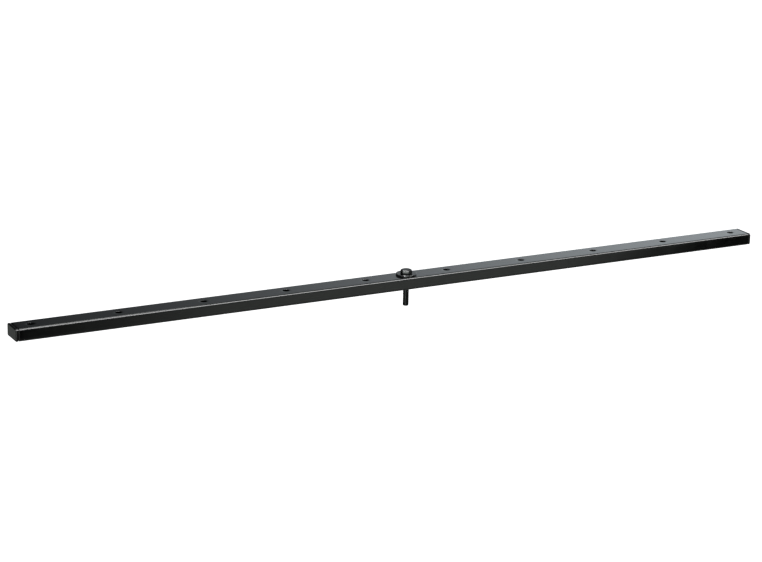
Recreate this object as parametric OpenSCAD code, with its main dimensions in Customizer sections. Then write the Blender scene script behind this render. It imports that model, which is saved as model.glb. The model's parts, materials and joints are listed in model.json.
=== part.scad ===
// Crossbar for a lighting stand. A flat rectangular tube carries a row of lamp holes and is
// closed by a ribbed plastic cap at each end. A hex bolt with a broad washer drops through
// its middle hole and fastens it to the stand.
// X runs along the bar, Y across it and Z up. The origin is on the bolt's axis, in the plane
// of the tube's underside. All sizes are in millimetres.

/* [Tube] */
// Length over both end caps
overall_length = 1350; // [900:10:1600]
// Width of the tube, across the bar
tube_width = 40; // [38:1:60]
// Height of the tube
tube_height = 20; // [18:1:30]
// Wall thickness of the tube
tube_wall = 2; // [1.5:0.5:2.5]
// Radius of the tube's outer corners
corner_radius = 3; // [3:0.5:5]

/* [Holes] */
// Diameter of the lamp holes and of the middle hole
hole_diameter = 11; // [10.5:0.5:13]
// Lamp holes on each side of the middle hole
holes_per_side = 5; // [2:1:6]
// Distance between the two lamp holes nearest the middle
middle_gap = 150; // [80:10:200]
// Distance from each end of the bar to its outermost lamp hole
end_distance = 30; // [28:1:60]

/* [End caps] */
// Thickness of the cap's flange, outside the tube
flange_thickness = 5; // [4:0.5:6]
// Radius of the flange's outer rim
rim_radius = 1.2; // [0.6:0.1:1.5]
// Length of the cap's plug, inside the tube
plug_length = 14; // [12:1:15]
// Wall thickness of the plug
plug_wall = 1.8; // [1.2:0.1:2]
// Ribs that grip the inside of the tube
rib_count = 3; // [2:1:4]
// Height of a rib above the plug
rib_height = 1.5; // [1:0.1:2]
// Thickness of a rib
rib_thickness = 0.9; // [0.6:0.1:1.2]

/* [Bolt and washer] */
// Nominal diameter of the bolt's thread
thread_diameter = 10; // [8:0.5:10]
// Length of the bolt under its head
bolt_length = 55; // [45:5:90]
// Width of the hex head across its flats
head_width = 17; // [15:0.5:18]
// Height of the head
head_height = 6.4; // [5:0.1:8]
// How far the head is turned about the bolt's axis, in degrees
head_turn = 25; // [0:5:60]
// Outer diameter of the washer
washer_diameter = 34; // [24:1:38]
// Thickness of the washer
washer_thickness = 3; // [2:0.5:4]

/* [Hidden] */
$fn = 72;
clear = 1;

// tube
tube_length = overall_length - 2 * flange_thickness;
bore_width = tube_width - 2 * tube_wall;
bore_height = tube_height - 2 * tube_wall;
bore_radius = corner_radius - tube_wall;
first_hole = middle_gap / 2;
last_hole = overall_length / 2 - end_distance;
hole_pitch = (last_hole - first_hole) / (holes_per_side - 1);
right_holes = [for (i = [0:holes_per_side - 1]) first_hole + i * hole_pitch];
hole_places = concat(-right_holes, [0], right_holes);

// end caps
plug_width = bore_width - 2 * rib_height;
plug_height = bore_height - 2 * rib_height;
plug_radius = 1;
pocket_width = plug_width - 2 * plug_wall;
pocket_height = plug_height - 2 * plug_wall;
pocket_radius = 0.5;
pocket_end = flange_thickness / 2;
rib_pitch = plug_length / (rib_count + 0.5);

// bolt: the shank above the thread is as thick as the blank that the thread is rolled on
head_corner_radius = head_width / 2 / cos(30);
head_face_radius = 0.45 * head_width;
head_face_height = 0.4;
head_top_radius = 0.46 * head_width;
head_chamfer = (head_corner_radius - head_top_radius) * tan(30);
shank_radius = 0.455 * thread_diameter;
thread_radius = thread_diameter / 2;
tip_chamfer = thread_diameter / 10;
head_base = tube_height + washer_thickness;
bolt_tip = head_base - bolt_length;

// washer
washer_bore_radius = hole_diameter / 2;
washer_radius = washer_diameter / 2;
washer_edge = 0.4;

// Rectangle with round corners, centred on the origin
module rounded_outline(width, height, radius) {
    square([width - 2 * radius, height], center = true);
    square([width, height - 2 * radius], center = true);
    for (x = [-1, 1], y = [-1, 1])
        translate([x * (width / 2 - radius), y * (height / 2 - radius)])
            circle(radius);
}

// Extrudes a cross-section of the bar along X, from start over a length
module along_bar(start, length) {
    translate([start, 0, tube_height / 2])
        rotate([90, 0, 90])
            linear_extrude(length)
                children();
}

// Side view of the flange: flat against the tube, round at the two outer corners
module flange_profile(span) {
    translate([0, -span / 2])
        square([flange_thickness - rim_radius, span]);
    translate([0, rim_radius - span / 2])
        square([flange_thickness, span - 2 * rim_radius]);
    for (side = [-1, 1])
        translate([flange_thickness - rim_radius, side * (span / 2 - rim_radius)])
            circle(rim_radius);
}

// Flange of a cap, from the end of the tube outwards along X
module cap_flange() {
    intersection() {
        along_bar(0, flange_thickness)
            rounded_outline(tube_width, tube_height, corner_radius);
        linear_extrude(tube_height)
            flange_profile(tube_width);
        translate([0, 0, tube_height / 2])
            rotate([90, 0, 0])
                linear_extrude(tube_width, center = true)
                    flange_profile(tube_height);
    }
}

// Plug of a cap with its ribs, from the end of the tube inwards
module cap_plug() {
    along_bar(-plug_length, plug_length)
        rounded_outline(plug_width, plug_height, plug_radius);
    for (i = [1:rib_count])
        along_bar(-i * rib_pitch, rib_thickness)
            rounded_outline(bore_width, bore_height, bore_radius);
}

// Hollow cap for the +X end of the tube, with the tube's end at x = 0
module end_cap() {
    difference() {
        union() {
            cap_flange();
            cap_plug();
        }
        along_bar(-plug_length - clear, plug_length + clear + pocket_end)
            rounded_outline(pocket_width, pocket_height, pocket_radius);
    }
}

module beam_tube() {
    color("#1d1f20")
        difference() {
            along_bar(-tube_length / 2, tube_length)
                difference() {
                    rounded_outline(tube_width, tube_height, corner_radius);
                    rounded_outline(bore_width, bore_height, bore_radius);
                }
            for (x = hole_places)
                translate([x, 0, -clear])
                    cylinder(d = hole_diameter, h = tube_height + 2 * clear);
        }
}

module right_end_cap() {
    color("#2b2d2d")
        translate([tube_length / 2, 0, 0])
            end_cap();
}

module left_end_cap() {
    color("#2b2d2d")
        mirror([1, 0, 0])
            translate([tube_length / 2, 0, 0])
                end_cap();
}

module bolt_washer() {
    color("#303434")
        translate([0, 0, tube_height])
            rotate_extrude()
                polygon([
                    [washer_bore_radius, 0],
                    [washer_radius - washer_edge / 2, 0],
                    [washer_radius, washer_edge / 2],
                    [washer_radius, washer_thickness - washer_edge],
                    [washer_radius - washer_edge, washer_thickness],
                    [washer_bore_radius, washer_thickness]
                ]);
}

// Turned outline of the head: a thin bearing face below and a 30 degree chamfer on top
module head_envelope() {
    rotate_extrude()
        polygon([
            [0, 0],
            [head_face_radius, 0],
            [head_face_radius, head_face_height],
            [head_corner_radius + clear, head_face_height],
            [head_corner_radius + clear, head_height - head_chamfer - clear * tan(30)],
            [head_top_radius, head_height],
            [0, head_height]
        ]);
}

module bolt_head() {
    intersection() {
        rotate(head_turn)
            cylinder(r = head_corner_radius, h = head_height, $fn = 6);
        head_envelope();
    }
}

// Shank in the bar, thread below it, and the chamfered tip
module bolt_shank() {
    rotate_extrude()
        polygon([
            [0, head_base + head_face_height / 2],
            [shank_radius, head_base + head_face_height / 2],
            [shank_radius, thread_radius - shank_radius],
            [thread_radius, 0],
            [thread_radius, bolt_tip + tip_chamfer],
            [thread_radius - tip_chamfer, bolt_tip],
            [0, bolt_tip]
        ]);
}

module stand_bolt() {
    color("#26292a") {
        translate([0, 0, head_base])
            bolt_head();
        bolt_shank();
    }
}

beam_tube();
left_end_cap();
right_end_cap();
bolt_washer();
stand_bolt();
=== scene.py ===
"""Crossbar of a lighting stand: a black coated tube with a row of lamp holes, two moulded end
caps, and a hex bolt with a broad washer through the middle hole. Lengths are in metres."""
import json
import math

import bmesh
import bpy
from mathutils import Matrix, Vector


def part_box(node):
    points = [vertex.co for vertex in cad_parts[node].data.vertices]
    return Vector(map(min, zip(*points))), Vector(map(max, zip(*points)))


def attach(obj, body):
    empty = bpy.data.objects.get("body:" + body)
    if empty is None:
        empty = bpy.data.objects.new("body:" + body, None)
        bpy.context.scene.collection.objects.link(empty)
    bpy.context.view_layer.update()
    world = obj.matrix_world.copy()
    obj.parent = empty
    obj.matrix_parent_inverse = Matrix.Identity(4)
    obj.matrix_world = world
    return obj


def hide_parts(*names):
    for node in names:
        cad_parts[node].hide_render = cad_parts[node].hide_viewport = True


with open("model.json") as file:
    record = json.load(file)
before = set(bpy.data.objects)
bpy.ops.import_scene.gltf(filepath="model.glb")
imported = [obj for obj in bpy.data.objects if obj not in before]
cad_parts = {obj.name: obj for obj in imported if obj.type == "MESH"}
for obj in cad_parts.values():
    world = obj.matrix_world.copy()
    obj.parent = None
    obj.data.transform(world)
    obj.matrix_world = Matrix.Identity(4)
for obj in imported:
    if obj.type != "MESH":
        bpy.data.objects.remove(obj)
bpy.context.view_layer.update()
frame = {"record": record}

MM = 0.001

# Distances that count as nothing: HAIR when sizes are compared, and WELD when points are merged
HAIR = MM / 100
WELD = MM / 1000

# ---------------------------------------------------------------- sizes
# Outer sizes and holes come from the frame, and the details on them are set here.

TUBE_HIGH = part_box("beam_tube")[1]
CAP_LOW, CAP_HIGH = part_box("right_end_cap")
WASHER_LOW, WASHER_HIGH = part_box("bolt_washer")
BOLT_LOW, BOLT_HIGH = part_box("stand_bolt")
MOUNTS = {mount["name"]: mount for mount in frame["record"]["mounts"]}
LAMP_HOLES = [mount for name, mount in MOUNTS.items() if name.startswith("lamp_hole_")]

# Tube: it lies along X, with its underside at Z = 0
TUBE_END = TUBE_HIGH.x
HALF_WIDTH = TUBE_HIGH.y
HEIGHT = TUBE_HIGH.z
HALF_HEIGHT = HEIGHT / 2
CORNER = 3 * MM
LEAST_CORNER = 0.5 * MM
WALL = 2 * MM
CUT_EDGE = 0.9 * MM

# Holes: every rim is rolled in, and the punch has dished the sheet round the upper ones
HOLE_RADIUS = LAMP_HOLES[0]["dims"]["r_mm"] * MM
HOLE_PLACES = sorted([mount["pos_m"][0] for mount in LAMP_HOLES] + [0.0])
RIM_ROLL = 0.3 * MM
DISH_RADIUS = 10 * MM
DISH_DEPTH = 0.14 * MM

# Shares of the way in over the dish at which the mesh has a ring
DISH_SHARES = (0, 0.25, 0.5, 0.7, 0.87)

# End caps: a flange outside the tube, and a ribbed plug with a pocket inside it
BAR_END = CAP_HIGH.x
PLUG_END = CAP_LOW.x
FLANGE_RIM = 1.5 * MM
JOINT_GAP = 0.02 * MM
GROOVE_WIDTH = 1.3 * MM
GROOVE_DEPTH = 1.2 * MM
GROOVE_EDGE = 0.3 * MM
RIB_HEIGHT = 1.5 * MM
RIB_WIDTH = 0.9 * MM
RIB_COUNT = 3
RIB_PITCH = (TUBE_END - PLUG_END) / (RIB_COUNT + 0.5)
PLUG_WALL = 1.8 * MM
PLUG_CORNER = 1 * MM
PLUG_LEAD = 0.5 * MM
POCKET_FLOOR = (TUBE_END + BAR_END) / 2

# Washer
WASHER_RADIUS = WASHER_HIGH.x
WASHER_ROLL = 0.4 * MM
WASHER_BURR = 0.15 * MM

# Head of the bolt: FACE is its round bearing face on the washer, and TOP the flat on top
HEAD_BASE = WASHER_HIGH.z
HEAD_TOP = BOLT_HIGH.z
HALF_FLATS = 8.5 * MM
HEAD_TURN = math.radians(55)
HEAD_CORNER = 0.5 * MM
FACE_RADIUS = 7.65 * MM
FACE_HEIGHT = 0.4 * MM
TOP_RADIUS = 7.82 * MM
CHAMFER_ANGLE = math.radians(30)
HEAD_EDGE = 0.3 * MM
RECESS_RADIUS = 6 * MM
RECESS_DEPTH = 0.18 * MM

# Shank: inside the tube it is plain, and a short cone widens it to the thread's radius at Z = 0
BOLT_TIP = BOLT_LOW.z
THREAD_RADIUS = MOUNTS["stand_bolt_thread"]["dims"]["r_mm"] * MM
SHANK_RADIUS = 4.55 * MM
CONE_HEIGHT = THREAD_RADIUS - SHANK_RADIUS
TIP_CHAMFER = 1 * MM
THREAD_PITCH = 1.5 * MM
THREAD_DEPTH = 0.92 * MM
THREAD_RUN_OUT = 1.5 * MM
FLANK_ANGLE = math.radians(30)

# Parts of one pitch that the flat crest and each flank of the thread take up
CREST_SHARE = 1 / 8
FLANK_SHARE = THREAD_DEPTH * math.tan(FLANK_ANGLE) / THREAD_PITCH

# Divisions of the meshes
FLAT_STEPS = 12
SIDE_STEPS = 4
ARC_STEPS = 6
ROLL_STEPS = 4
EDGE_STEPS = 3
BURR_STEPS = 2
WASHER_STEPS = 96
SPARE_TURNS = 3
SHARP_ANGLE = math.radians(50)

# Numbers of the points in round_section at which the top and the bottom flat start
TOP_FLAT = ARC_STEPS
BOTTOM_FLAT = 3 * ARC_STEPS + FLAT_STEPS + SIDE_STEPS

# Bearings over one side of the head, in degrees from the middle of its flat: even over the flat,
# and close together round the corner
SECTOR = (-28.5, *range(-24, 30, 6), 28.5, 29.25, 30, 30.75)


# ---------------------------------------------------------------- studio and camera values

FLOOR_DROP = 0.5
SWEEP_RADIUS = 40.0
SWEEP_STEPS = 96
BAR_MIDDLE = (0, 0, 0)

# Camera: place in metres, (heading, tilt down, roll) in degrees, and lens in millimetres
CAMERA_PLACE = (-1.7844, -3.2787, 1.1202)
CAMERA_ANGLES = (-27.927, 16.585, 1.149)
CAMERA_LENS = 112.55

# Soft panels round the horizon: (start, end, fade in, fade out) in degrees from +X, and level
HIGH_PANELS = (
    (-25, 70, 15, 19, 1.05),
    (0, 74, 20, 5, 0.14),
    (124, 330, 10, 15, 0.35),
    (217, 239, 3, 3, 1.2),
)
LOW_PANELS = (
    (10, 270, 25, 4, 0.25),
    (217, 239, 3, 3, 3.4),
    (288, 305.5, 8, 2.5, 0.78),
)

# Floor glow, low panels, high panels and ceiling follow each other upwards. Each pair is the
# range of Z of a direction over which one gives way to the next.
FLOOR_TO_LOW = (-0.4, -0.33)
LOW_TO_HIGH = (-0.2, -0.1)
HIGH_TO_CEILING = (0.42, 0.6)
FLOOR_LEVEL = 0.35
CEILING_LEVEL = 0.25
LOW_TINT = (0.93, 1, 0.95, 1)
HIGH_TINT = (0.92, 1, 1.05, 1)


# ---------------------------------------------------------------- mesh helpers

def new_bmesh():
    """An empty bmesh whose vertices carry a wear value, from 0 in the open to 1 on an edge."""
    bm = bmesh.new()
    return bm, bm.verts.layers.float.new("wear")


def set_wear(wear, verts, amount=1.0):
    """Marks vertices as rubbed by handling."""
    for vert in verts:
        vert[wear] = amount


def new_piece(name, bm, material, body, node):
    """Turns a bmesh into a finished piece that rides on a body and stands for a CAD node."""
    bmesh.ops.recalc_face_normals(bm, faces=bm.faces)
    for edge in bm.edges:
        edge.smooth = edge.calc_face_angle(0) < SHARP_ANGLE
    mesh = bpy.data.meshes.new(name)
    bm.to_mesh(mesh)
    bm.free()
    for polygon in mesh.polygons:
        polygon.use_smooth = True
    mesh.materials.append(material)
    piece = bpy.data.objects.new(name, mesh)
    bpy.context.scene.collection.objects.link(piece)
    weighted = piece.modifiers.new("weighted_normals", "WEIGHTED_NORMAL")
    weighted.keep_sharp = True
    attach(piece, body)
    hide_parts(node)


def clamp(value):
    """Holds a value between 0 and 1."""
    return min(max(value, 0), 1)


def arc(centre, radius, start, end, steps):
    """Points of an arc, from one angle to another in degrees, both included."""
    angles = [math.radians(start + (end - start) * i / steps) for i in range(steps + 1)]
    return [(centre[0] + radius * math.cos(a), centre[1] + radius * math.sin(a)) for a in angles]


def bend(corner, before, after, reach, steps=3):
    """Points of a soft bend at a corner of an outline, reaching towards both neighbours."""
    corner, before, after = Vector(corner), Vector(before), Vector(after)
    start = corner + (before - corner).normalized() * reach
    end = corner + (after - corner).normalized() * reach
    shares = [i / steps for i in range(steps + 1)]
    return [tuple(start.lerp(corner, t).lerp(corner.lerp(end, t), t)) for t in shares]


def join_rings(bm, rings, closed=False):
    """Skins a list of rings with equal numbers of vertices, and closed also joins last to first."""
    pairs = list(zip(rings, rings[1:]))
    if closed:
        pairs.append((rings[-1], rings[0]))
    for one, two in pairs:
        for i in range(len(one)):
            j = (i + 1) % len(one)
            bm.faces.new((one[i], one[j], two[j], two[i]))


def round_section(half_y, half_z, radius):
    """Outline of a rounded rectangle about the tube's centre line, as a loop of (y, z).
    Each corner's arc is followed by the flat that runs to the next corner."""
    flat_y, flat_z = half_y - radius, half_z - radius
    centres = ((flat_y, flat_z), (-flat_y, flat_z), (-flat_y, -flat_z), (flat_y, -flat_z))
    points = []
    for k, (y, z) in enumerate(centres):
        next_y, next_z = centres[(k + 1) % 4]
        points += arc((y, z), radius, 90 * k, 90 * k + 90, ARC_STEPS)
        last_y, last_z = points[-1]
        steps = SIDE_STEPS if k % 2 else FLAT_STEPS
        shares = [i / steps for i in range(1, steps)]
        points += [(last_y + (next_y - y) * t, last_z + (next_z - z) * t) for t in shares]
    return points


def section_ring(bm, x, half_y, half_z, radius):
    """Vertices of a rounded rectangle across the bar, at a distance along it."""
    outline = round_section(half_y, half_z, radius)
    return [bm.verts.new((x, y, HALF_HEIGHT + z)) for y, z in outline]


def bar_row(x, inset):
    """(distance, half width, half height, corner) of the bar's outline, moved in by an inset."""
    return x, HALF_WIDTH - inset, HALF_HEIGHT - inset, max(CORNER - inset, LEAST_CORNER)


def axis_vert(bm, radius, bearing, z):
    """A vertex at a radius and a bearing round the bolt's axis."""
    return bm.verts.new((radius * math.cos(bearing), radius * math.sin(bearing), z))


# ---------------------------------------------------------------- tube

def tube_rows():
    """(distance along the bar, depth in the wall) of the rings over the tube's outside, and the
    numbers of the rings at which the squares round the holes start."""
    end_roll = arc((TUBE_END - CUT_EDGE, CUT_EDGE), CUT_EDGE, 0, -90, EDGE_STEPS)
    reach = HALF_WIDTH - CORNER
    squares = [
        (place + reach * (2 * m / FLAT_STEPS - 1), 0)
        for place in HOLE_PLACES
        for m in range(FLAT_STEPS + 1)
    ]
    left = [(-x, depth) for x, depth in end_roll]
    starts = [len(left) + h * (FLAT_STEPS + 1) for h in range(len(HOLE_PLACES))]
    return left + squares + end_roll[::-1], starts


def skin_tube(bm, rings, starts):
    """Skins the loop of rings that runs along the outside and back along the inside. It leaves
    a square open round each hole, in the top and bottom flats of both skins."""
    count, around = len(rings), len(rings[0])
    flats = [c for start in (TOP_FLAT, BOTTOM_FLAT) for c in range(start, start + FLAT_STEPS)]
    open_rows = set()
    for start in starts:
        for row in range(start, start + FLAT_STEPS):
            open_rows |= {row, count - 2 - row}
    for row in range(count):
        following = rings[(row + 1) % count]
        for c in range(around):
            if row in open_rows and c in flats:
                continue
            d = (c + 1) % around
            bm.faces.new((rings[row][c], rings[row][d], following[d], following[c]))


def square_walk():
    """(row, column) steps once round the square that a hole sits in."""
    far = FLAT_STEPS
    return (
        [(m, 0) for m in range(far)]
        + [(far, c) for c in range(far)]
        + [(m, far) for m in range(far, 0, -1)]
        + [(0, c) for c in range(far, 0, -1)]
    )


def hole_profile(dish):
    """(radius, depth) from the tube's outside, over the rim and through the wall."""
    rim = HOLE_RADIUS + RIM_ROLL
    profile = [(DISH_RADIUS - (DISH_RADIUS - rim) * t, dish * t ** 2) for t in DISH_SHARES]
    profile += arc((rim, dish + RIM_ROLL), RIM_ROLL, -90, -180, ROLL_STEPS)
    profile += arc((rim, WALL - RIM_ROLL), RIM_ROLL, 180, 90, ROLL_STEPS)
    return profile


def make_hole(bm, wear, outer, inner, place, outside, inwards, profile):
    """Rings from a square in the outer skin to the same square in the inner skin. The rim in the
    outer skin is the one that wears."""
    bearings = [math.atan2(vert.co.y, vert.co.x - place) for vert in outer]
    rings = [outer]
    for radius, depth in profile:
        z = outside + inwards * depth
        ring = [
            bm.verts.new((place + radius * math.cos(bearing), radius * math.sin(bearing), z))
            for bearing in bearings
        ]
        past_wall = radius - HOLE_RADIUS
        if HAIR < past_wall < RIM_ROLL + HAIR and depth < WALL / 2:
            set_wear(wear, ring)
        rings.append(ring)
    join_rings(bm, rings + [inner])


def make_tube(material):
    """The drilled tube, with both of its skins, its cut ends and the walls of its holes."""
    bm, wear = new_bmesh()
    outside, starts = tube_rows()
    inside = [(x, WALL - depth) for x, depth in outside]
    rings = [section_ring(bm, *bar_row(x, depth)) for x, depth in outside + inside[::-1]]
    skin_tube(bm, rings, starts)
    walls = (
        (TOP_FLAT, HEIGHT, -1, hole_profile(DISH_DEPTH)),
        (BOTTOM_FLAT, 0, 1, hole_profile(0)),
    )
    for start, place in zip(starts, HOLE_PLACES):
        for flat, surface, inwards, profile in walls:
            outer = [rings[start + m][flat + c] for m, c in square_walk()]
            inner = [rings[-1 - start - m][flat + c] for m, c in square_walk()]
            make_hole(bm, wear, outer, inner, place, surface, inwards, profile)
    for ring in (*rings[:EDGE_STEPS], *rings[len(outside) - EDGE_STEPS:len(outside)]):
        set_wear(wear, ring, 0.8)
    loose = [vert for vert in bm.verts if not vert.link_faces]
    bmesh.ops.delete(bm, geom=loose, context="VERTS")
    new_piece("crossbar_tube", bm, material, "beam", "beam_tube")


# ---------------------------------------------------------------- end caps

def cap_rows():
    """(distance, half width, half height, corner) of the rings of the cap at the +X end, from
    the floor of its pocket, over the ribbed plug and out to the face of the flange."""
    plug_y = HALF_WIDTH - WALL - RIB_HEIGHT
    plug_z = HALF_HEIGHT - WALL - RIB_HEIGHT
    pocket_y, pocket_z = plug_y - PLUG_WALL, plug_z - PLUG_WALL
    rib = RIB_HEIGHT - JOINT_GAP
    joint = TUBE_END + JOINT_GAP
    groove_end = joint + GROOVE_WIDTH

    def plug(x, grow):
        return x, plug_y + grow, plug_z + grow, PLUG_CORNER

    def pocket(x, grow):
        return x, pocket_y + grow, pocket_z + grow, LEAST_CORNER

    rows = [pocket(POCKET_FLOOR, -PLUG_LEAD), pocket(POCKET_FLOOR - PLUG_LEAD / 2, 0)]
    rows += [pocket(PLUG_END + PLUG_LEAD, 0), pocket(PLUG_END, PLUG_LEAD / 2)]
    rows += [plug(PLUG_END, -PLUG_LEAD), plug(PLUG_END + 2 * PLUG_LEAD, 0)]
    for i in range(RIB_COUNT, 0, -1):
        start = TUBE_END - i * RIB_PITCH
        rows += [plug(start, 0), plug(start + RIB_WIDTH / 2, rib)]
        rows += [plug(start + RIB_WIDTH * 0.8, rib), plug(start + RIB_WIDTH, 0)]
    rows += [plug(joint, 0), bar_row(joint, GROOVE_DEPTH), bar_row(groove_end, GROOVE_DEPTH)]
    edges = arc((groove_end + GROOVE_EDGE, GROOVE_EDGE), GROOVE_EDGE, 180, 270, EDGE_STEPS)
    edges += arc((BAR_END - FLANGE_RIM, FLANGE_RIM), FLANGE_RIM, -90, 0, ARC_STEPS)
    edges += [(BAR_END, 2 * FLANGE_RIM), (BAR_END, 5 * FLANGE_RIM)]
    return rows + [bar_row(x, inset) for x, inset in edges]


def make_cap(name, node, side, material):
    """The cap at the end of the bar on one side, -1 or 1. Its groove and rounded edges wear."""
    bm, wear = new_bmesh()
    rows = cap_rows()
    rings = [section_ring(bm, side * x, y, z, corner) for x, y, z, corner in rows]
    join_rings(bm, rings)
    bm.faces.new(rings[0])
    bm.faces.new(rings[-1])
    for ring, (x, y, _, _) in zip(rings, rows):
        if TUBE_END < x < BAR_END - HAIR and HAIR < HALF_WIDTH - y < FLANGE_RIM:
            set_wear(wear, ring)
    new_piece(name, bm, material, "beam", node)


# ---------------------------------------------------------------- washer

def make_washer(material):
    """A stamped washer: rolled over by the die on top, with its other edges lightly broken."""
    bm, wear = new_bmesh()
    low, high = WASHER_LOW.z, WASHER_HIGH.z
    rim, bore = WASHER_RADIUS - WASHER_ROLL, HOLE_RADIUS + WASHER_BURR
    outline = [(HOLE_RADIUS, low + WASHER_ROLL), (bore, low)]
    outline += [(WASHER_RADIUS / 2, low), (WASHER_RADIUS - WASHER_BURR, low)]
    outline += [(WASHER_RADIUS, low + WASHER_BURR), (WASHER_RADIUS, high - 2.5 * WASHER_ROLL)]
    outline += arc((rim, high - WASHER_ROLL), WASHER_ROLL, 0, 90, ROLL_STEPS)
    outline += [(WASHER_RADIUS - 4 * WASHER_ROLL, high), (HOLE_RADIUS + 4 * WASHER_BURR, high)]
    outline += arc((bore, high - WASHER_BURR), WASHER_BURR, 90, 180, BURR_STEPS)
    bearings = [math.tau * i / WASHER_STEPS for i in range(WASHER_STEPS)]
    rings = [[axis_vert(bm, radius, bearing, z) for bearing in bearings] for radius, z in outline]
    join_rings(bm, rings, closed=True)
    for vert in bm.verts:
        if vert.co.xy.length > WASHER_RADIUS - WASHER_ROLL * 1.1 and vert.co.z > high - MM / 2:
            vert[wear] = 1.0
    new_piece("broad_washer", bm, material, "washer", "bolt_washer")


# ---------------------------------------------------------------- bolt

def bolt_bearings():
    """(bearing, bearing from the middle of the nearest flat), close together at the corners."""
    bearings = []
    for k in range(6):
        for step in SECTOR:
            from_flat = step if step <= 30 else step - 60
            bearings.append((HEAD_TURN + math.radians(60 * k + step), math.radians(from_flat)))
    return bearings


def hex_radius(from_flat):
    """Distance from the axis to the side of the head, whose corners are a little round."""
    to_corner = math.radians(30) - abs(from_flat)
    centre = (HALF_FLATS - HEAD_CORNER) / math.cos(math.radians(30))
    if abs(from_flat) < math.atan(centre / 2 / HALF_FLATS):
        return HALF_FLATS / math.cos(from_flat)
    across = centre * math.sin(to_corner)
    return centre * math.cos(to_corner) + math.sqrt(HEAD_CORNER ** 2 - across ** 2)


def head_outline(from_flat):
    """(radius, height) from the shank, over the bearing face and the side, to the recess in the
    top."""
    side = hex_radius(from_flat)
    shoulder = (side, HEAD_TOP - (side - TOP_RADIUS) * math.tan(CHAMFER_ANGLE))
    rim = (TOP_RADIUS, HEAD_TOP)
    under = HEAD_BASE + FACE_HEIGHT
    outline = [(SHANK_RADIUS, HEAD_BASE - HEAD_EDGE), (SHANK_RADIUS + HEAD_EDGE, HEAD_BASE)]
    outline += bend((FACE_RADIUS, HEAD_BASE), (0, HEAD_BASE), (FACE_RADIUS, under), FACE_HEIGHT / 3)
    outline += [(FACE_RADIUS, under)]
    outline += bend((side, under), (0, under), shoulder, HEAD_EDGE / 2)
    outline += [(side, shoulder[1] - 4 * HEAD_EDGE)]
    outline += bend(shoulder, (side, under), rim, 2 * HEAD_EDGE)
    outline += bend(rim, shoulder, (0, HEAD_TOP), 3 * HEAD_EDGE)
    outline += [(RECESS_RADIUS, HEAD_TOP), (RECESS_RADIUS * 0.9, HEAD_TOP - RECESS_DEPTH)]
    outline += [(RECESS_RADIUS * 0.3, HEAD_TOP - RECESS_DEPTH)]
    return outline


def make_head(bm, bearings):
    """Skin of the head, from the shank under it to the recess in its top."""
    outlines = [head_outline(from_flat) for _, from_flat in bearings]
    rings = [
        [axis_vert(bm, radius, bearing, z) for (bearing, _), (radius, z) in zip(bearings, level)]
        for level in zip(*outlines)
    ]
    join_rings(bm, rings)
    bm.faces.new(rings[-1])


def thread_surface(bearing, z):
    """Radius of the shank and of its right-hand thread, at a bearing and a height."""
    body = SHANK_RADIUS + CONE_HEIGHT * clamp((CONE_HEIGHT - z) / CONE_HEIGHT)
    depth = THREAD_DEPTH * clamp(-z / THREAD_RUN_OUT)
    phase = (z / THREAD_PITCH - bearing / math.tau) % 1
    from_crest = min(phase, 1 - phase)
    groove = clamp((from_crest - CREST_SHARE / 2) / FLANK_SHARE)
    chamfer = THREAD_RADIUS - TIP_CHAMFER + (z - BOLT_TIP)
    return min(body - depth * groove, chamfer)


def thread_phases():
    """Places along one pitch, from a crest down, where the thread's outline bends."""
    crest = CREST_SHARE / 2
    middle = crest + FLANK_SHARE / 2
    root = crest + FLANK_SHARE
    return 0, crest, middle, root, 0.5, 1 - root, 1 - middle, 1 - crest


def make_thread(bm, bearings):
    """Skin of the shank from the cone down to the tip. Its rows follow the helix, so that at the
    seam each turn joins the next one. Spare turns let every column of points reach the tip."""
    phases = thread_phases()
    turns = math.ceil((CONE_HEIGHT - BOLT_TIP) / THREAD_PITCH) + SPARE_TURNS
    first_turn = math.ceil(CONE_HEIGHT / THREAD_PITCH)
    drops = [turn + phase for turn in range(turns) for phase in phases]
    columns = []
    for bearing, _ in bearings:
        heights = [THREAD_PITCH * (first_turn - drop + bearing / math.tau) for drop in drops]
        heights = [min(max(z, BOLT_TIP), CONE_HEIGHT) for z in heights]
        columns.append([axis_vert(bm, thread_surface(bearing, z), bearing, z) for z in heights])
    for i, column in enumerate(columns):
        wraps = i == len(columns) - 1
        beside = columns[0] if wraps else columns[i + 1]
        shift = len(phases) if wraps else 0
        for row in range(len(drops) - 1):
            one, two = max(row - shift, 0), max(row + 1 - shift, 0)
            corners = (column[row], beside[one], beside[two], column[row + 1])
            if len(set(corners)) > 2:
                bm.faces.new(list(dict.fromkeys(corners)))


def close_bolt(bm):
    """Welds the seams, joins the head to the shank and fills the flat of the tip."""
    bmesh.ops.remove_doubles(bm, verts=bm.verts, dist=WELD)
    bmesh.ops.dissolve_degenerate(bm, edges=bm.edges, dist=WELD)
    open_edges = [edge for edge in bm.edges if len(edge.link_faces) == 1]
    tip_edges = [edge for edge in open_edges if edge.verts[0].co.z < BOLT_TIP + HAIR]
    shank_edges = [edge for edge in open_edges if edge not in tip_edges]
    bmesh.ops.bridge_loops(bm, edges=shank_edges)
    bmesh.ops.edgeloop_fill(bm, edges=tip_edges)


def make_bolt(material):
    """The bolt, with wear on the crests of its thread and on the upper edges of its head."""
    bm, wear = new_bmesh()
    bearings = bolt_bearings()
    make_head(bm, bearings)
    make_thread(bm, bearings)
    close_bolt(bm)
    for vert in bm.verts:
        crest = vert.co.xy.length > THREAD_RADIUS - MM / 20 and vert.co.z < 0
        shoulder = vert.co.xy.length > TOP_RADIUS - HEAD_EDGE and vert.co.z > HEAD_TOP - MM
        vert[wear] = 1.0 if crest or shoulder else 0.0
    new_piece("hex_bolt", bm, material, "bolt", "stand_bolt")


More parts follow.
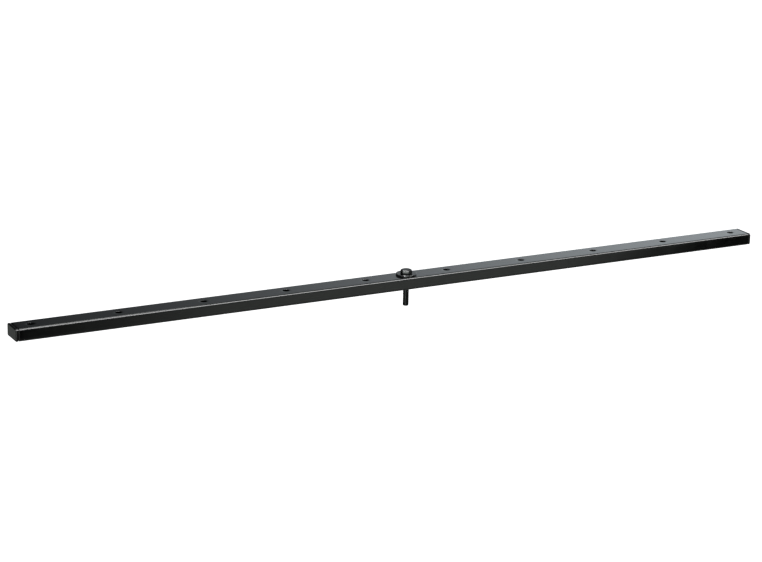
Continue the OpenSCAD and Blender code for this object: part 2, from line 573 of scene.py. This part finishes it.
# ---------------------------------------------------------------- shader helpers

def add_node(tree, kind, inputs=None, **settings):
    """A shader node with its settings and inputs; an input that is a socket is linked."""
    node = tree.nodes.new("ShaderNode" + kind)
    for name, value in settings.items():
        setattr(node, name, value)
    for name, value in (inputs or {}).items():
        if isinstance(value, bpy.types.NodeSocket):
            tree.links.new(value, node.inputs[name])
        else:
            node.inputs[name].default_value = value
    return node


def new_material(name):
    """A material without nodes, its node tree, and a place on the object for its patterns."""
    material = bpy.data.materials.new(name)
    material.use_nodes = True
    tree = material.node_tree
    tree.nodes.clear()
    place = add_node(tree, "TexCoord").outputs["Object"]
    return material, tree, place


def noise(tree, place, grain, detail=2.0, roughness=0.5):
    """Even noise whose lumps are about one grain across."""
    inputs = {"Vector": place, "Scale": 1 / grain, "Detail": detail, "Roughness": roughness}
    return add_node(tree, "TexNoise", inputs).outputs["Fac"]


def remap(tree, value, old, new=(0, 1)):
    """Stretches the old range of a value to a new one, and holds what lies outside it."""
    inputs = {"Value": value}
    inputs |= {"From Min": old[0], "From Max": old[1], "To Min": new[0], "To Max": new[1]}
    return add_node(tree, "MapRange", inputs).outputs["Result"]


def smooth_step(tree, value, start, end):
    """Rises smoothly from 0 at start to 1 at end."""
    inputs = {"Value": value, "From Min": start, "From Max": end}
    return add_node(tree, "MapRange", inputs, interpolation_type="SMOOTHSTEP").outputs["Result"]


def mix_colour(tree, share, one, two):
    """Colour one where the share is 0, and colour two where it is 1. A Mix node's colours are
    its inputs 6 and 7, and its output 2."""
    return add_node(tree, "Mix", {0: share, 6: one, 7: two}, data_type="RGBA").outputs[2]


def maths(tree, operation, *values):
    """Result of a Math node on numbers or sockets."""
    return add_node(tree, "Math", dict(enumerate(values)), operation=operation).outputs[0]


def grey(level, warm=0.0):
    """A neutral colour; a warm share adds red and takes blue away."""
    return level * (1 + warm), level, level * (1 - warm), 1.0


def finish_material(tree, **inputs):
    """Puts a Principled shader on the material, with inputs named with _ for each space."""
    shader = add_node(tree, "BsdfPrincipled", {k.replace("_", " "): v for k, v in inputs.items()})
    add_node(tree, "OutputMaterial", {"Surface": shader.outputs[0]})


def bump(tree, height, distance):
    """Normal of a surface whose height swings by a distance."""
    inputs = {"Height": height, "Strength": 1.0, "Distance": distance}
    return add_node(tree, "Bump", inputs).outputs["Normal"]


def worn_share(tree, place, grain, most, patches=(0.62, 0.68)):
    """How far handling has rubbed the edges, from 0 to most. Where the noise rises through the
    range of patches, the wear sets in, so a lower and wider range gives longer, softer patches."""
    edge = add_node(tree, "Attribute", attribute_name="wear").outputs["Fac"]
    rubbed = remap(tree, noise(tree, place, grain, detail=3), patches, (0, most))
    return maths(tree, "MULTIPLY", edge, rubbed)


# ---------------------------------------------------------------- materials

def coated_steel():
    """Glossy black stove enamel: a faint orange peel, smudges where hands have held it, fine
    scuffs along the bar, a little dust, and chips on the rims that show bare steel."""
    material, tree, place = new_material("black_coat")
    cloud = noise(tree, place, 60 * MM, detail=3)
    smudge = remap(tree, noise(tree, place, 22 * MM, detail=4, roughness=0.6), (0.5, 0.7), (0, 0.05))
    along = add_node(tree, "Mapping", {"Vector": place, "Scale": (0.04, 1, 1)}).outputs[0]
    scuff = remap(tree, noise(tree, along, 0.7 * MM, detail=3), (0.64, 0.72))
    peel = noise(tree, place, 1.6 * MM, detail=1)
    dust = remap(tree, noise(tree, place, 0.5 * MM), (0.68, 0.76), (0, 0.3))
    worn = worn_share(tree, place, 0.9 * MM, most=0.8)
    film = mix_colour(tree, cloud, grey(0.011), grey(0.022))
    scuffed = mix_colour(tree, maths(tree, "MULTIPLY", scuff, 0.5), film, grey(0.06))
    dusty = mix_colour(tree, dust, scuffed, grey(0.13, warm=0.04))
    colour = mix_colour(tree, worn, dusty, grey(0.45))
    dull = maths(tree, "ADD", smudge, maths(tree, "MULTIPLY", scuff, 0.05))
    roughness = maths(tree, "ADD", remap(tree, cloud, (0.3, 0.7), (0.09, 0.12)), dull)
    normal = bump(tree, peel, 0.004 * MM)
    finish_material(
        tree, Base_Color=colour, Metallic=worn, Roughness=roughness, IOR=1.5, Normal=normal
    )
    return material


def moulded_plastic():
    """Smooth black plastic, a little cloudy, with the faint grain of its mould."""
    material, tree, place = new_material("cap_plastic")
    cloud = noise(tree, place, 9 * MM, detail=3)
    grain = noise(tree, place, 0.35 * MM)
    worn = worn_share(tree, place, 0.7 * MM, most=0.5)
    film = mix_colour(tree, cloud, grey(0.015), grey(0.03))
    colour = mix_colour(tree, worn, film, grey(0.12))
    roughness = remap(tree, cloud, (0.3, 0.7), (0.12, 0.18))
    normal = bump(tree, grain, 0.004 * MM)
    finish_material(tree, Base_Color=colour, Roughness=roughness, IOR=1.5, Normal=normal)
    return material


def black_zinc(name, darkest, lightest, edge_on):
    """Dark chromated zinc on steel: cloudy, tumbled, and rubbed brighter along its edges. The
    film takes light away at flat angles, which leaves the share edge_on."""
    material, tree, place = new_material(name)
    cloud = noise(tree, place, 4 * MM, detail=4)
    tumble = noise(tree, place, 0.6 * MM, detail=3)
    worn = worn_share(tree, place, 1.5 * MM, most=0.6, patches=(0.5, 0.62))
    film = mix_colour(tree, cloud, grey(darkest), grey(lightest))
    colour = mix_colour(tree, worn, film, grey(0.3))
    roughness = remap(tree, cloud, (0.3, 0.7), (0.16, 0.24))
    normal = bump(tree, tumble, 0.012 * MM)
    finish_material(
        tree, Base_Color=colour, Metallic=1.0, Roughness=roughness, Normal=normal,
        Specular_Tint=grey(edge_on),
    )
    return material


# ---------------------------------------------------------------- studio

def panel_light(tree, bearing, panels):
    """Brightness round the horizon from a list of soft-edged panels, which add up."""
    total = 0.0
    for start, end, fade_in, fade_out, level in panels:
        half = (end - start) / 2
        aside = maths(tree, "SUBTRACT", bearing, start + half)
        aside = maths(tree, "WRAP", aside, 180, -180)
        rise = smooth_step(tree, aside, -half, fade_in - half)
        fall = smooth_step(tree, aside, half, half - fade_out)
        panel = maths(tree, "MULTIPLY", maths(tree, "MULTIPLY", rise, fall), level)
        total = maths(tree, "ADD", panel, total)
    return total


def light_world():
    """Soft light all round: the panels in two bands along the horizon, the glow of the pale floor
    below them and a dim ceiling above. The levels are relative to white. Glossy surfaces reflect
    it, and it doesn't light matt ones."""
    world = bpy.data.worlds.new("studio")
    bpy.context.scene.world = world
    world.use_nodes = True
    tree = world.node_tree
    tree.nodes.clear()
    way = add_node(tree, "TexCoord").outputs["Generated"]
    parts = add_node(tree, "SeparateXYZ", {0: way}).outputs
    turn = maths(tree, "ARCTAN2", parts["Y"], parts["X"])
    bearing = maths(tree, "DEGREES", turn)
    high = panel_light(tree, bearing, HIGH_PANELS)
    low = panel_light(tree, bearing, LOW_PANELS)
    over_floor = remap(tree, parts["Z"], FLOOR_TO_LOW)
    over_low = remap(tree, parts["Z"], LOW_TO_HIGH)
    over_high = remap(tree, parts["Z"], HIGH_TO_CEILING)
    level = mix_colour(tree, over_floor, grey(FLOOR_LEVEL), low)
    level = mix_colour(tree, over_low, level, high)
    level = mix_colour(tree, over_high, level, grey(CEILING_LEVEL))
    tint = mix_colour(tree, over_low, LOW_TINT, HIGH_TINT)
    background = add_node(tree, "Background", {"Color": tint, "Strength": level})
    add_node(tree, "OutputWorld", {"Surface": background.outputs[0]})
    world.cycles_visibility.diffuse = False


def soft_box(name, centre, aim, width, depth, level, on_gloss=True):
    """A rectangular soft light, whose level is its own brightness, relative to white. It shows
    either in glossy surfaces only or on matt ones only, so that each can be set by itself."""
    light = bpy.data.lights.new(name, "AREA")
    light.shape = "RECTANGLE"
    light.size, light.size_y = width, depth
    light.energy = level * math.pi * width * depth
    lamp = bpy.data.objects.new(name, light)
    lamp.location = centre
    lamp.rotation_mode = "QUATERNION"
    lamp.rotation_quaternion = (Vector(aim) - Vector(centre)).to_track_quat("-Z", "Y")
    lamp.visible_glossy = on_gloss
    lamp.visible_diffuse = not on_gloss
    bpy.context.scene.collection.objects.link(lamp)


def pale_stage():
    """A pale floor with a far pale wall round it, seen by the camera but not in reflections."""
    material, tree, place = new_material("pale_floor")
    colour = mix_colour(tree, noise(tree, place, 0.8), grey(0.86), grey(0.9))
    finish_material(
        tree, Base_Color=colour, Roughness=0.9, Emission_Color=grey(1), Emission_Strength=1.2
    )
    bm = bmesh.new()
    bmesh.ops.create_circle(bm, cap_ends=True, segments=SWEEP_STEPS, radius=SWEEP_RADIUS)
    rim = [edge for edge in bm.edges if edge.is_boundary]
    raised = bmesh.ops.extrude_edge_only(bm, edges=rim)["geom"]
    verts = [item for item in raised if isinstance(item, bmesh.types.BMVert)]
    bmesh.ops.translate(bm, verts=verts, vec=(0, 0, SWEEP_RADIUS / 2))
    bmesh.ops.translate(bm, verts=bm.verts, vec=(0, 0, -FLOOR_DROP))
    mesh = bpy.data.meshes.new("pale_sweep")
    bm.to_mesh(mesh)
    bm.free()
    mesh.materials.append(material)
    sweep = bpy.data.objects.new("pale_sweep", mesh)
    bpy.context.scene.collection.objects.link(sweep)
    sweep.visible_glossy = False
    sweep.visible_diffuse = False
    sweep.visible_shadow = False


def place_camera():
    """The camera, turned by its heading, then tilted, then rolled about its own axis."""
    data = bpy.data.cameras.new("camera")
    data.lens = CAMERA_LENS
    data.clip_end = 4 * SWEEP_RADIUS
    camera = bpy.data.objects.new("camera", data)
    heading, tilt, roll = (math.radians(angle) for angle in CAMERA_ANGLES)
    turn = Matrix.Rotation(heading, 4, "Z") @ Matrix.Rotation(math.pi / 2 - tilt, 4, "X")
    camera.matrix_world = (
        Matrix.Translation(CAMERA_PLACE) @ turn @ Matrix.Rotation(roll, 4, "Z")
    )
    bpy.context.scene.collection.objects.link(camera)
    bpy.context.scene.camera = camera


# ---------------------------------------------------------------- scene

place_camera()
light_world()
pale_stage()
soft_box("long_light", (0.95, -1.0, 1.45), (0.95, 0, 0), width=2.6, depth=1.1, level=12.5)
soft_box("key_light", (-0.9, -0.95, 1.45), BAR_MIDDLE, width=1.0, depth=1.0, level=25.0)
soft_box("back_light", (-0.1, 0.5, 1.35), BAR_MIDDLE, width=0.6, depth=0.6, level=7.0)
for name, centre in (("front_fill", (-1.5, -2.5, 2.5)), ("back_fill", (1.5, 2.5, 2.5))):
    soft_box(name, centre, BAR_MIDDLE, width=3.0, depth=3.0, level=0.3, on_gloss=False)
bpy.context.scene.view_settings.view_transform = "Standard"

plastic = moulded_plastic()
make_tube(coated_steel())
make_cap("end_cap_left", "left_end_cap", -1, plastic)
make_cap("end_cap_right", "right_end_cap", 1, plastic)
make_washer(black_zinc("black_zinc_stamped", 0.055, 0.09, edge_on=0.85))
make_bolt(black_zinc("black_zinc_forged", 0.05, 0.085, edge_on=0.65))
